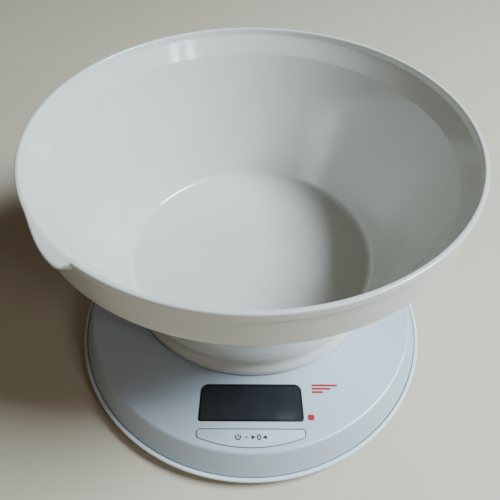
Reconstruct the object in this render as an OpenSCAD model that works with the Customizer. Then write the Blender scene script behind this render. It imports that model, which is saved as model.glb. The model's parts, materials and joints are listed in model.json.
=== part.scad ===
// Kitchen scale: a round base with a display and one key, a raised weighing platform on a
// single-point load cell, and a lift-off bowl with a collar and a pouring lip.
// The origin is on the table, in the middle of the outline's box. The front faces -Y, +Z is up.

/* [Base] */
// Outer radius of the bottom shell's edge
base_r = 100; // [92:1:130]
// Height of the flat top above the table
top_z = 21.5; // [21.5:0.5:32]
// Wall of both housing shells
shell_wall = 2.2; // [1.6:0.1:2.8]
// How far the side leans in between the edge and the flat top
side_lean = 5.8; // [3:0.1:9]
// Height of the bottom shell's edge above the table
edge_z = 7.2; // [6.4:0.1:9]
// Gap between the table and the bottom shell
floor_gap = 2.5; // [1.5:0.1:3]
// Radius of a rubber foot
foot_pad_r = 7; // [5:0.5:9]

/* [Bowl] */
// Outer radius of the rim
rim_r = 106.8; // [98:0.1:130]
// Inner radius of the flat floor
floor_r = 68.6; // [55:0.1:84]
// Depth from the rim to the floor
bowl_depth = 85.5; // [60:0.5:110]
// Wall of the bowl
bowl_wall = 2.6; // [2:0.1:3.2]
// Height of the collar, from its lower edge to the rim
collar_h = 21.2; // [17:0.1:24]
// Depth of the crease inside, below the rim
ledge_depth = 12.9; // [10:0.1:14]
// How far the bowl stands behind the middle of the base
bowl_offset = 20; // [10:1:30]
// Direction of the pouring lip, counted from +X
lip_angle = 223; // [0:1:359]

/* [Weighing platform] */
// Height of the platform above the flat top
platform_h = 17.1; // [14:0.1:20]
// How far the platform sinks at full load
platform_travel = 0.8; // [0.3:0.1:0.9]

/* [Load cell] */
// Length of the beam
beam_l = 80; // [76:1:90]
// Width of the beam
beam_w = 12.7; // [10:0.1:16]
// Height of the beam
beam_h = 11.5; // [10:0.1:11.5]
// Distance between the two screws at each end
beam_pitch = 15; // [12:0.5:16]

/* [Display and key] */
// Width of the window at its front edge
window_w = 52.7; // [44:0.1:56]
// Depth of the window from front to back
window_l = 20.1; // [16:0.1:24]
// Distance from the front of the flat top to the window
window_setback = 15.9; // [15.2:0.1:20]
// Width of the key
key_w = 52.8; // [40:0.1:56]
// Distance from the front of the flat top to the key
key_setback = 3.1; // [2.4:0.1:3.6]
// Height of the key from its straight edge to the tip of its arc
key_l = 8.8; // [7:0.1:10]
// Slot around the key
key_gap = 0.35; // [0.2:0.05:0.5]
// Travel of the key
key_travel = 0.4; // [0.2:0.05:0.6]

/* [Battery] */
// Radius of one round cell
cell_r = 5.25; // [4:0.05:5.6]
// Length of one round cell
cell_l = 44.5; // [40:0.5:46]

/* [Hidden] */
$fn = 96;
eps = 0.01;
arc_steps = 5;

// Places of the base and the bowl in the frame
base_y = -(bowl_offset + rim_r - base_r) / 2;
bowl_y = base_y + bowl_offset;

// Shells
groove_w = 0.45;
edge_w = 1.85;
skirt_r = base_r - edge_w - groove_w;
top_r = skirt_r - side_lean;
seat_z = edge_z - 1.5;
under_z = top_z - shell_wall;
inner_floor_z = floor_gap + 2;
rib_gap = 0.3;
rib_w = 1.6;
rib_r = side_r(edge_z + 1) - shell_wall - rib_gap;

// Bowl
platform_z = top_z + platform_h;
floor_z = platform_z + bowl_wall;
rim_z = floor_z + bowl_depth;
ledge_r = rim_r - 8.5;
ledge_z = rim_z - ledge_depth;
floor_corner_r = floor_r + 1.6;
cone_slope = (ledge_r - floor_corner_r) / (ledge_z - floor_z);
cone_wall = bowl_wall * norm([1, cone_slope]);
foot_clear = 1.2;
foot_z = top_z + foot_clear;
foot_waist_z = foot_z + 8.8;
foot_flare = 2.3;
lip_reach = 2.7;
lip_drop_z = rim_z - 6.7;
lip_round_r = 38;
lip_start_r = rim_r - 4.2;

// Weighing platform and carrier
platform_side_gap = 0.8;
platform_r = cone_in(foot_waist_z) - platform_side_gap;
platform_wall = 2.5;
carrier_r = 50;
carrier_z = top_z + 2;
carrier_t = 3;
carrier_top_z = carrier_z + carrier_t;
platform_boss_r = 4;
platform_screw_ring_r = 40;

// Load cell stack
boss_z = inner_floor_z + 1;
spacer_t = 1.2;
beam_z = boss_z + spacer_t;
beam_top_z = beam_z + beam_h;
top_spacer_t = 1;
beam_end_x = (beam_l - beam_pitch) / 2 - 2.5;
m4_r = 2;
m4_hole_r = 2.05;
m4_head_r = 3.6;
m4_head_h = 1.8;
pad_l = beam_pitch + 9;
pad_w = beam_w + 3.3;
opening_gap = 2;
drip_lip_w = 1.2;
drip_lip_h = 0.8;
gauge_t = 0.12;
gauge_l = 5;
gauge_w = 4;
flexure_x = 9;
flexure_wall = 1.95;
flexure_r = beam_h / 2 - flexure_wall;
coat_t = 0.8;

// Display, board and key, placed from the front of the flat top
front_y = -top_r;
window_front_y = front_y + window_setback;
window_mid_y = window_front_y + window_l / 2;
window_back_w = window_w - 1.1;
lens_t = 1.2;
lens_sink = 0.12;
lens_gap = 0.1;
tape_t = 0.2;
tape_w = 1.6;
lens_z = top_z - lens_sink - lens_t;
tape_z = lens_z - tape_t;
board_t = 1.6;
board_top_z = under_z - 6.2;
board_z = board_top_z - board_t;
lcd_l = window_l - 1;
lcd_w = window_w - 3;
lcd_t = 2.8;
lcd_z = board_top_z + 2.6;
lcd_frame_wall = 1.8;
strip_w = 1.8;
board_w = window_w + 14;
board_back_y = window_mid_y + window_l / 2 + 3.5;
board_front_y = front_y + 3.3;
board_hole_x = board_w / 2 - 3.2;
board_rear_hole_y = board_back_y - 3.5;
board_front_hole_y = window_front_y - 5;
board_screw_r = 1;
board_boss_r = 2.1;
key_tip_y = front_y + key_setback;
key_back_y = key_tip_y + key_l;
key_side_l = 3.7;
key_proud = 0.08;
key_flange = 0.9;
key_flange_t = 1.1;
key_wall = 1.4;
key_under_gap = 0.3;
key_low_z = under_z - key_under_gap - key_flange_t;
switch_y = key_back_y - 4.6;
switch_size = 6;
switch_h = 3.4;
plunger_r = 1.7;
plunger_hole_r = 1.75;
switch_floor_t = 1;
plunger_low_z = board_top_z + switch_floor_t + key_travel + 0.2;

// Housing screws and feet
housing_screw_ring_r = base_r - 16;
screw_spots = [for (a = [35, 145, 215, 325]) housing_screw_ring_r * [cos(a), sin(a)]];
foot_ring_r = base_r - 20;
foot_spots = [for (a = [45 : 90 : 315]) foot_ring_r * [cos(a), sin(a)]];
foot_sink = 0.7;
boss_split_z = inner_floor_z + 4.5;
m3_r = 1.4;
m3_head_r = 2.8;
m3_head_h = 1.8;
m3_seat_z = boss_split_z - 2;

// Battery bay on the left of the base
bay_wall = 1.5;
cell_gap = 0.7;
bay_w = 4 * cell_r + 3 * cell_gap + 1;
bay_l = cell_l + 6.5;
bay_x = -(base_r - 36);
door_t = 1.4;
door_gap = 0.2;
cell_z = floor_gap + door_t + 0.6 + cell_r;
bay_roof_z = cell_z + cell_r + 0.7;
cell_dx = cell_r + cell_gap / 2;
tongue_w = 4;
tongue_z = inner_floor_z + 0.1;
tongue_t = 1.2;
latch_h = 3.4;
contact_t = 0.5;
contact_w = 6;
wire_r = 0.6;

function cone_in(z) = floor_corner_r + (z - floor_z) * cone_slope;
function cone_out(z) = cone_in(z) + cone_wall;
function side_r(z) = skirt_r - (z - edge_z) * side_lean / (top_z - edge_z);
function unit(v) = v / norm(v);

// One corner of an outline, as its point or as an arc that touches both sides
function corner(a, b, c, r) =
    let (
        u = unit(a - b),
        v = unit(c - b),
        half = acos(u * v) / 2,
        mid = b + unit(u + v) * r / sin(half),
        from = b + u * r / tan(half) - mid,
        to = b + v * r / tan(half) - mid,
        start = atan2(from.y, from.x),
        turn = atan2(from.x * to.y - from.y * to.x, from * to)
    )
    [for (i = [0 : arc_steps]) mid + r * [cos(start + turn * i / arc_steps), sin(start + turn * i / arc_steps)]];

// An outline whose points are [x, y, corner radius]
function rounded(points) =
    let (n = len(points), at = [for (p = points) [p.x, p.y]])
    [
        for (i = [0 : n - 1])
            each points[i].z > 0
                ? corner(at[(i + n - 1) % n], at[i], at[(i + 1) % n], points[i].z)
                : [at[i]]
    ];

// The window's outline, moved outwards by grow
function window_outline(grow = 0) = rounded([
    [-window_w / 2 - grow, window_front_y - grow, 1.5 + max(grow, -1)],
    [window_w / 2 + grow, window_front_y - grow, 1.5 + max(grow, -1)],
    [window_back_w / 2 + grow, window_front_y + window_l + grow, 3.8 + grow],
    [-window_back_w / 2 - grow, window_front_y + window_l + grow, 3.8 + grow]
]);

// The key's outline, moved outwards by grow: an arc in front, straight sides and back
function key_outline(grow = 0) =
    let (
        half = key_w / 2 + grow,
        rise = key_l - key_side_l,
        r = (key_w * key_w / 4 + rise * rise) / (2 * rise),
        arc_y = function(x) key_tip_y + r - sqrt((r + grow) * (r + grow) - x * x)
    )
    rounded(concat(
        [for (i = [-7 : 7]) [i * half / 8, arc_y(i * half / 8), 0]],
        [
            [half, arc_y(half), 2 + max(grow, -1)],
            [half, key_back_y + grow, 1.2 + max(grow, -1)],
            [-half, key_back_y + grow, 1.2 + max(grow, -1)],
            [-half, arc_y(half), 2 + max(grow, -1)]
        ]
    ));

module at_base() {
    translate([0, base_y, 0]) children();
}

module at_bowl() {
    translate([0, bowl_y, 0]) children();
}

module at_spots(spots) {
    for (p = spots) translate([p.x, p.y, 0]) children();
}

module tube(z, h, r, hole_r) {
    translate([0, 0, z]) difference() {
        cylinder(h = h, r = r);
        translate([0, 0, -eps]) cylinder(h = h + 2 * eps, r = hole_r);
    }
}

// A block centred in x and y, standing on z
module block(size, x = 0, y = 0, z = 0) {
    translate([x - size.x / 2, y - size.y / 2, z]) cube(size);
}

// A screw that points up, with its head's seat at z and a cross slot in the head
module screw(seat_z, length, r, head_r, head_h) {
    slot_w = head_r * 0.3;
    slot_l = head_r * 1.2;
    difference() {
        union() {
            translate([0, 0, seat_z - head_h]) cylinder(h = head_h, r = head_r);
            translate([0, 0, seat_z - eps]) cylinder(h = length, r = r);
        }
        for (a = [0, 90]) rotate([0, 0, a])
            block([slot_l, slot_w, head_h], z = seat_z - head_h * 1.5);
    }
}

module rod(a, b, r) {
    d = b - a;
    translate(a) rotate([0, acos(d.z / norm(d)), atan2(d.y, d.x)]) cylinder(h = norm(d), r = r);
}

module wire(points) {
    for (i = [0 : len(points) - 2]) rod(points[i], points[i + 1], wire_r);
    for (i = [1 : len(points) - 2]) translate(points[i]) sphere(r = wire_r * 1.04);
}

// ---- Bowl ----

function bowl_profile() =
    let (
        foot_r = cone_out(foot_waist_z) + foot_flare,
        waist_z = foot_waist_z,
        flare_z = waist_z - 4.2,
        under = floor_z - bowl_wall,
        skirt_z = rim_z - collar_h,
        fold_z = ledge_z - 1.4,
        fold_top_z = ledge_z + 3.2,
        collar_low_r = rim_r - 1.2,
        bead_z = rim_z - 4.2
    )
    rounded([
        [0, floor_z, 0],
        [floor_corner_r, floor_z, 5],
        [ledge_r, ledge_z, 2.5],
        [rim_r - 2.9, rim_z - 3.2, 4],
        [rim_r - 2.2, rim_z, 0.9],
        [rim_r, rim_z, 0.9],
        [rim_r, bead_z, 0.8],
        [rim_r - 0.7, bead_z - 0.6, 0],
        [collar_low_r, skirt_z, 0.8],
        [collar_low_r - bowl_wall + 0.2, skirt_z, 0.8],
        [collar_low_r - bowl_wall, fold_top_z, 0],
        [cone_out(fold_z), fold_z, 0],
        [cone_out(waist_z), waist_z, 4],
        [foot_r, flare_z, 2],
        [foot_r, foot_z, 0.8],
        [foot_r - bowl_wall, foot_z, 0.8],
        [foot_r - bowl_wall, flare_z, 0],
        [cone_in(waist_z), waist_z, 0],
        [cone_in(under), under, 0],
        [0, under, 0]
    ]);

// The bulge that carries the pouring lip out past the rim
module lip_bulge() {
    low_z = lip_drop_z - 8.5;
    reach = rim_r + lip_reach;
    flare = (lip_reach + 1.3) / (lip_drop_z - low_z);
    low_r = lip_round_r - (lip_drop_z - low_z) * flare;
    difference() {
        translate([reach - lip_round_r, 0, low_z])
            cylinder(h = rim_z - low_z, r1 = low_r, r2 = low_r + (rim_z - low_z) * flare);
        translate([0, 0, low_z - 1]) cylinder(h = rim_z - low_z + 2, r = rim_r - 2.2);
    }
}

module bowl() {
    color("#e3e4e2") at_bowl() difference() {
        union() {
            rotate_extrude() polygon(bowl_profile());
            rotate([0, 0, lip_angle]) lip_bulge();
        }
        rotate([0, 0, lip_angle]) translate([lip_start_r, -45, rim_z]) rotate([0, 45, 0])
            cube([40, 90, 40]);
    }
}

// ---- Weighing platform, carrier and their screws ----

platform_screw_spots = [for (a = [45 : 90 : 315]) platform_screw_ring_r * [cos(a), sin(a)]];

module weighing_platform() {
    rib_z = carrier_top_z + 0.3;
    plate_z = platform_z - platform_wall;
    color("#c2c7cc") at_bowl() difference() {
        union() {
            rotate_extrude() polygon(rounded([
                [0, platform_z, 0],
                [platform_r, platform_z, 1.5],
                [platform_r, foot_z + 0.3, 0.6],
                [platform_r - 2, foot_z + 0.3, 0.6],
                [platform_r - 2, plate_z, 1],
                [0, plate_z, 0]
            ]));
            tube(rib_z, plate_z - rib_z + 0.5, 26, 24.4);
            for (a = [0 : 45 : 315]) rotate([0, 0, a])
                translate([24.8, -0.8, rib_z]) cube([platform_r - 26, 1.6, plate_z - rib_z + 0.5]);
            at_spots(platform_screw_spots)
                translate([0, 0, carrier_top_z]) cylinder(h = plate_z - carrier_top_z + 0.5, r = platform_boss_r);
        }
        at_spots(platform_screw_spots)
            translate([0, 0, carrier_top_z - 1]) cylinder(h = 7, r = m3_r + 0.05);
    }
}

module platform_carrier() {
    boss_low_z = beam_top_z + top_spacer_t;
    color("#a9adb0") at_bowl() difference() {
        union() {
            translate([0, 0, carrier_z]) cylinder(h = carrier_t, r = carrier_r);
            block([pad_l, pad_w, carrier_z - boss_low_z + 0.5], x = beam_end_x, z = boss_low_z);
        }
        for (a = [90, 180, 270]) rotate([0, 0, a])
            translate([28, 0, carrier_z - 1]) cylinder(h = carrier_t + 2, r = 9);
        at_beam_screws(beam_end_x) {
            translate([0, 0, boss_low_z - 1]) cylinder(h = 12, r = m4_hole_r);
            translate([0, 0, carrier_top_z - 2.4]) cylinder(h = 4, r = m4_head_r + 0.4);
        }
        at_spots(platform_screw_spots) {
            translate([0, 0, carrier_z - 1]) cylinder(h = carrier_t + 2, r = m3_r + 0.2);
            translate([0, 0, carrier_z - 1]) cylinder(h = 2.9, r = m3_head_r + 0.3);
        }
    }
}

module platform_screws() {
    color("#8d8f92") at_bowl() at_spots(platform_screw_spots)
        screw(carrier_z + 1.9, 6, m3_r, m3_head_r, m3_head_h);
}

// Both screw places at one end of the beam
module at_beam_screws(end_x) {
    for (s = [-1, 1]) translate([end_x + s * beam_pitch / 2, 0, 0]) children();
}

module carrier_screws() {
    seat = carrier_top_z - 2.4;
    color("#8d8f92") at_bowl() at_beam_screws(beam_end_x)
        translate([0, 0, seat]) mirror([0, 0, 1]) screw(0, seat - beam_z - 3, m4_r, m4_head_r, m4_head_h);
}

// A flat plate under or over one end of the beam, with the two screw holes
module spacer_plate(end_x, z, t) {
    difference() {
        block([pad_l, pad_w, t], x = end_x, z = z);
        at_beam_screws(end_x) translate([0, 0, z - 1]) cylinder(h = t + 2, r = m4_hole_r);
    }
}

module top_spacer() {
    color("#b4b6b8") at_bowl() spacer_plate(beam_end_x, beam_top_z, top_spacer_t);
}

module base_spacer() {
    color("#b4b6b8") at_bowl() spacer_plate(-beam_end_x, boss_z, spacer_t);
}

// ---- Load cell ----

module load_cell() {
    mid_z = beam_z + beam_h / 2;
    color("#c9cbcc") at_bowl() difference() {
        block([beam_l, beam_w, beam_h], z = beam_z);
        for (x = [-flexure_x, flexure_x]) translate([x, beam_w, mid_z]) rotate([90, 0, 0])
            cylinder(h = 2 * beam_w, r = flexure_r);
        block([2 * flexure_x, 2 * beam_w, 2.4], z = mid_z - 1.2);
        for (x = [-beam_end_x, beam_end_x])
            at_beam_screws(x) translate([0, 0, beam_z - 1]) cylinder(h = beam_h + 2, r = m4_hole_r);
    }
}

gauge_spots = [for (x = [-flexure_x, flexure_x], s = [-1, 1]) [x, s]];

module strain_gauges() {
    mid_z = beam_z + beam_h / 2;
    color("#b86a2c") at_bowl() for (g = gauge_spots)
        block([gauge_l, gauge_w, gauge_t], x = g.x,
            z = g.y > 0 ? mid_z + beam_h / 2 : mid_z - beam_h / 2 - gauge_t);
}

module gauge_coating() {
    coat_l = 2 * flexure_x + gauge_l + 4;
    color("#e9e9e4") at_bowl() difference() {
        union() {
            block([coat_l, beam_w - 2, coat_t], z = beam_top_z);
            block([coat_l, beam_w - 2, coat_t], z = beam_z - coat_t);
        }
        for (g = gauge_spots) {
            z = g.y > 0 ? beam_top_z - gauge_t : beam_z - gauge_t;
            block([gauge_l, gauge_w, 2 * gauge_t], x = g.x, z = z);
        }
    }
}

module load_cell_screws() {
    seat = floor_gap + m4_head_h + 0.2;
    color("#8d8f92") at_bowl() at_beam_screws(-beam_end_x)
        screw(seat, beam_z - seat + 9, m4_r, m4_head_r, m4_head_h);
}

module overload_stop() {
    color("#77797b") at_bowl() translate([beam_end_x + beam_pitch / 2 - 4, 0, 0]) difference() {
        translate([0, 0, floor_gap + 0.4])
            cylinder(h = beam_z - platform_travel - 0.1 - floor_gap - 0.4, r = 2);
        translate([0, 0, floor_gap]) cylinder(h = 1.8, r = 1.1, $fn = 6);
    }
}

socket_x = -16;
socket_y = board_back_y - 4;
socket_h = 4.4;
wire_pitch = 2;

module load_cell_wires() {
    beam_front_y = bowl_offset - beam_w / 2;
    run_z = board_z - socket_h / 2;
    socket_back_y = socket_y + 3;
    for (i = [0 : 3]) {
        shift = (i - 1.5) * wire_pitch;
        bend_y = (beam_front_y + socket_back_y) / 2 - shift;
        color(["#c1272d", "#1c1c1c", "#f2f2f2", "#2f8f4e"][i]) at_base() wire([
            [shift, beam_front_y, run_z],
            [shift, bend_y, run_z],
            [socket_x + shift, bend_y, run_z],
            [socket_x + shift, socket_back_y, run_z]
        ]);
    }
}

// ---- Housing ----

module upper_profile() {
    top_in_r = side_r(under_z) - shell_wall;
    polygon(rounded([
        [0, top_z, 0],
        [top_r, top_z, 1.8],
        [skirt_r, edge_z, 1],
        [skirt_r, seat_z, 0],
        [skirt_r - shell_wall, seat_z, 0],
        [skirt_r - shell_wall, edge_z, 0],
        [top_in_r, under_z, 0],
        [0, under_z, 0]
    ]));
}

module upper_housing() {
    opening = [pad_l + 2 * opening_gap, pad_w + 2 * opening_gap];
    lip_grow = 2 * drip_lip_w;
    board_boss_h = under_z - board_top_z + 0.5;
    color("#b9c0c8") at_base() difference() {
        union() {
            rotate_extrude() upper_profile();
            at_spots(screw_spots) translate([0, 0, boss_split_z])
                cylinder(h = under_z - boss_split_z + 0.5, r = 3.6);
            at_spots(board_holes()) translate([0, 0, board_top_z])
                cylinder(h = board_boss_h, r = board_boss_r);
            block([opening.x + lip_grow, opening.y + lip_grow, drip_lip_h + 0.5],
                x = beam_end_x, y = bowl_offset, z = top_z - 0.5);
        }
        translate([0, 0, tape_z]) linear_extrude(height = 3) polygon(window_outline(lens_gap));
        translate([0, 0, under_z - 1]) linear_extrude(height = 4) polygon(window_outline(-tape_w));
        translate([0, 0, under_z - 1]) linear_extrude(height = 5) polygon(key_outline(key_gap));
        at_spots(screw_spots) translate([0, 0, boss_split_z - 1])
            cylinder(h = under_z - boss_split_z, r = m3_r + 0.05);
        at_spots(board_holes()) translate([0, 0, board_top_z - 1])
            cylinder(h = 6, r = board_screw_r + 0.05);
        block([opening.x, opening.y, shell_wall + 4], x = beam_end_x, y = bowl_offset, z = under_z - 1);
    }
}

module lower_profile() {
    polygon(rounded([
        [0, inner_floor_z, 0],
        [0, floor_gap, 0],
        [base_r - 3.6, floor_gap, 2],
        [base_r, floor_gap + 2.6, 2.2],
        [base_r, edge_z, 0.7],
        [base_r - edge_w, edge_z, 0.25],
        [base_r - edge_w, seat_z, 0],
        [rib_r, seat_z, 0],
        [rib_r, edge_z + 1, 0],
        [rib_r - rib_w, edge_z + 1, 0],
        [rib_r - rib_w, inner_floor_z, 0]
    ]));
}

// The battery bay's walls and roof, open at the bottom
module bay_box() {
    block([bay_w + 2 * bay_wall, bay_l + 2 * bay_wall, bay_roof_z + bay_wall - floor_gap],
        x = bay_x, z = floor_gap);
}

module bay_space() {
    block([bay_w, bay_l, bay_roof_z - floor_gap + 1], x = bay_x, z = floor_gap - 1);
    block([tongue_w + 0.6, bay_wall + 2, 3.4], x = bay_x, y = -bay_l / 2 - bay_wall / 2 + 0.5,
        z = inner_floor_z);
    // Holes for the two leads
    for (s = [-1, 1]) rod([bay_x + s * cell_dx, -bay_l / 2 - 3, cell_z + 3],
        [bay_x + s * cell_dx, -bay_l / 2 + 1, cell_z + 3], wire_r + 0.1);
}

module lower_housing() {
    color("#c9ced2") at_base() difference() {
        union() {
            rotate_extrude() lower_profile();
            at_spots(screw_spots) translate([0, 0, floor_gap])
                cylinder(h = boss_split_z - floor_gap, r = 4.4);
            block([pad_l, pad_w, boss_z - floor_gap], x = -beam_end_x, y = bowl_offset, z = floor_gap);
            translate([beam_end_x + beam_pitch / 2 - 4, bowl_offset, floor_gap])
                cylinder(h = boss_z - floor_gap, r = 4.5);
            bay_box();
            for (r = [30, 52]) tube(inner_floor_z - 0.5, 1.3, r, r - 1.2);
        }
        bay_space();
        at_spots(screw_spots) {
            translate([0, 0, floor_gap - 1]) cylinder(h = m3_seat_z - floor_gap + 1, r = m3_head_r + 0.3);
            translate([0, 0, floor_gap - 1]) cylinder(h = 12, r = m3_r + 0.2);
        }
        at_spots(foot_spots) translate([0, 0, floor_gap - 1]) cylinder(h = 1 + foot_sink, r = foot_pad_r + 0.1);
        translate([0, bowl_offset, 0]) {
            at_beam_screws(-beam_end_x) {
                translate([0, 0, floor_gap - 1]) cylinder(h = 8, r = m4_hole_r);
                translate([0, 0, floor_gap - 1]) cylinder(h = m4_head_h + 1.2, r = m4_head_r + 0.3);
            }
            translate([beam_end_x + beam_pitch / 2 - 4, 0, floor_gap - 1]) cylinder(h = 8, r = 2.05);
        }
    }
}

module housing_screws() {
    color("#8d8f92") at_base() at_spots(screw_spots)
        screw(m3_seat_z, 11, m3_r, m3_head_r, m3_head_h);
}

module rubber_feet() {
    color("#3a3b3c") at_base() at_spots(foot_spots) rotate_extrude() polygon(rounded([
        [0, floor_gap + foot_sink, 0],
        [foot_pad_r, floor_gap + foot_sink, 0],
        [foot_pad_r, 0, 0.9],
        [3, 0, 0],
        [2.4, 0.5, 0],
        [0, 0.5, 0]
    ]));
}

module rating_label() {
    label_t = 0.12;
    color("#dadbd8") at_base()
        block([38, 22, label_t], x = base_r * 0.45, y = -22, z = floor_gap - label_t);
}

// ---- Display ----

module display_window() {
    color("#2c3036") at_base() translate([0, 0, lens_z])
        linear_extrude(height = lens_t) polygon(window_outline());
}

module window_tape() {
    color("#141414") at_base() translate([0, 0, tape_z]) linear_extrude(height = tape_t) difference() {
        polygon(window_outline());
        polygon(window_outline(-tape_w));
    }
}

module lcd_glass() {
    lower_t = lcd_t / 2;
    color("#5b6360") at_base() {
        block([lcd_w, lcd_l, lower_t + eps], y = window_mid_y, z = lcd_z);
        block([lcd_w, lcd_l - 2 * strip_w, lcd_t - lower_t], y = window_mid_y, z = lcd_z + lower_t);
    }
}

module lcd_frame() {
    frame_h = under_z - board_top_z - 0.2;
    size = [lcd_w + 0.4, lcd_l + 0.4];
    color("#e6e6e2") at_base() difference() {
        block([size.x + 2 * lcd_frame_wall, size.y + 2 * lcd_frame_wall, frame_h],
            y = window_mid_y, z = board_top_z);
        block([size.x, size.y, frame_h + 2], y = window_mid_y, z = board_top_z - 1);
    }
}

module contact_strips() {
    color("#d9a6b5") at_base() for (s = [-1, 1])
        block([lcd_w - 4, strip_w, lcd_z - board_top_z],
            y = window_mid_y + s * (lcd_l - strip_w) / 2, z = board_top_z);
}

// ---- Circuit board ----

function board_holes() = [
    for (s = [-1, 1], y = [board_rear_hole_y, board_front_hole_y]) [s * board_hole_x, y]
];

module circuit_board() {
    clip = 6;
    half = board_w / 2;
    color("#2e6b45") at_base() difference() {
        translate([0, 0, board_z]) linear_extrude(height = board_t) polygon([
            [-half, board_back_y],
            [-half, board_front_y + clip],
            [-half + clip * 1.6, board_front_y],
            [half - clip * 1.6, board_front_y],
            [half, board_front_y + clip],
            [half, board_back_y]
        ]);
        at_spots(board_holes()) translate([0, 0, board_z - 1]) cylinder(h = 4, r = board_screw_r + 0.25);
    }
}

module board_screws() {
    color("#a58f4e") at_base() at_spots(board_holes())
        screw(board_z, board_t + 4, board_screw_r, 1.9, 1.4);
}

module processor_blob() {
    color("#17181a") at_base() translate([4, window_mid_y, board_z]) mirror([0, 0, 1])
        rotate_extrude() polygon(concat([[0, 0], [7, 0]], [for (a = [15 : 15 : 90]) [7 * cos(a), 1.8 * sin(a)]]));
}

module capacitors() {
    color("#31405f") at_base() for (x = [18, 25]) translate([x, window_mid_y + 3, board_z - 5.2])
        cylinder(h = 5.2, r = 2.5);
}

module crystal() {
    color("#c4c6c8") at_base() block([10, 3.6, 3], x = 20, y = window_mid_y - 6, z = board_z - 3);
}

module wire_socket() {
    color("#f0efe8") at_base() difference() {
        block([4 * wire_pitch + 3, 6, socket_h], x = socket_x, y = socket_y, z = board_z - socket_h);
        block([4 * wire_pitch + 1, 3, socket_h - 2], x = socket_x, y = socket_y + 3,
            z = board_z - socket_h + 1);
    }
}

module tact_switch() {
    color("#26272a") at_base() translate([0, switch_y, board_top_z]) difference() {
        block([switch_size, switch_size, switch_h]);
        translate([0, 0, switch_floor_t]) cylinder(h = switch_h, r = plunger_hole_r);
    }
}

module switch_terminals() {
    leg = 0.6;
    color("#c9c9c4") at_base() for (sx = [-1, 1], sy = [-1, 1])
        block([1.2, leg, 1.6], x = sx * (switch_size / 2 + 0.6), y = switch_y + sy * 2, z = board_top_z);
}

module switch_plunger() {
    color("#2b2b2e") at_base() translate([0, switch_y, plunger_low_z])
        cylinder(h = key_low_z - plunger_low_z, r = plunger_r);
}

module tare_key() {
    flange_r = side_r(under_z) - shell_wall - 0.3;
    color("#bcc3cb") at_base() difference() {
        union() {
            intersection() {
                translate([0, 0, key_low_z]) linear_extrude(height = key_flange_t)
                    polygon(key_outline(key_flange));
                translate([0, 0, key_low_z - 1]) cylinder(h = key_flange_t + 2, r = flange_r);
            }
            translate([0, 0, key_low_z]) linear_extrude(height = top_z + key_proud - key_low_z)
                polygon(key_outline());
        }
        translate([0, 0, key_low_z - 1]) linear_extrude(height = top_z - 1.2 - key_low_z + 1)
            polygon(key_outline(-key_wall));
    }
}

// The post under the key that bears on the switch
module key_post() {
    color("#bcc3cb") at_base() translate([0, switch_y, key_low_z])
        cylinder(h = top_z - 1.2 - key_low_z, r = 2.4);
}

// ---- Battery ----

module battery_door() {
    half_l = bay_l / 2 - door_gap;
    color("#c4c9cd") at_base() translate([bay_x, 0, 0]) difference() {
        union() {
            block([bay_w - 2 * door_gap, 2 * half_l, door_t], z = floor_gap);
            block([tongue_w, 1.2, tongue_z + tongue_t - floor_gap], y = -half_l + 0.6, z = floor_gap);
            block([tongue_w, 3.2, tongue_t], y = -half_l - 0.4, z = tongue_z);
            block([tongue_w, 1, latch_h], y = half_l - 0.5, z = floor_gap);
            block([tongue_w, 1, latch_h], y = half_l - 3, z = floor_gap);
            block([tongue_w, 3.5, 0.8], y = half_l - 1.75, z = floor_gap + latch_h - 0.8);
        }
        block([tongue_w + 2, 1.5, door_t + 0.4], y = half_l - 1.75, z = floor_gap - 0.2);
        for (i = [0 : 3]) block([12, 0.8, 0.8], y = half_l - 8 - 2 * i, z = floor_gap - 0.4);
    }
}

module batteries() {
    nub_r = 1.9;
    nub_h = 1;
    for (s = [-1, 1]) color("#3f8f6b") at_base() translate([bay_x + s * cell_dx, s * cell_l / 2, cell_z])
        rotate([90 * s, 0, 0]) {
            cylinder(h = cell_l - nub_h, r = cell_r);
            translate([0, 0, cell_l - nub_h - eps]) cylinder(h = nub_h + eps, r = nub_r);
        }
}

module battery_contacts() {
    color("#c8cacb") at_base() for (s = [-1, 1]) translate([bay_x + s * cell_dx, -bay_l / 2, 0]) {
        block([contact_w, contact_t, 7], y = contact_t / 2, z = cell_z - 3);
        translate([0, contact_t, cell_z]) rotate([-90, 0, 0])
            cylinder(h = (bay_l - cell_l) / 2 - contact_t, r1 = 2.4, r2 = 1.4);
    }
}

module bridge_contact() {
    color("#c8cacb") at_base() translate([bay_x, bay_l / 2, 0]) {
        block([2 * cell_dx + contact_w, contact_t, 6], y = -contact_t / 2, z = cell_z - 2.5);
        for (s = [-1, 1]) translate([s * cell_dx, -contact_t, cell_z]) rotate([90, 0, 0])
            cylinder(h = (bay_l - cell_l) / 2 - contact_t, r1 = 2.4, r2 = 1.4);
    }
}

module battery_leads() {
    pad_y = board_back_y - 8;
    low_z = board_z - 2.4;
    wall_y = -bay_l / 2;
    for (s = [-1, 1]) {
        x = bay_x + s * cell_dx;
        turn_y = wall_y - 12 + 3 * s;
        pad_x = -board_w / 2 + 7 + 3 * s;
        color(s > 0 ? "#c1272d" : "#1c1c1c") at_base() wire([
            [x, wall_y - eps, cell_z + 3],
            [x, turn_y, cell_z + 3],
            [pad_x, turn_y, low_z],
            [pad_x, pad_y, low_z],
            [pad_x, pad_y, board_z]
        ]);
    }
}

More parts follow.
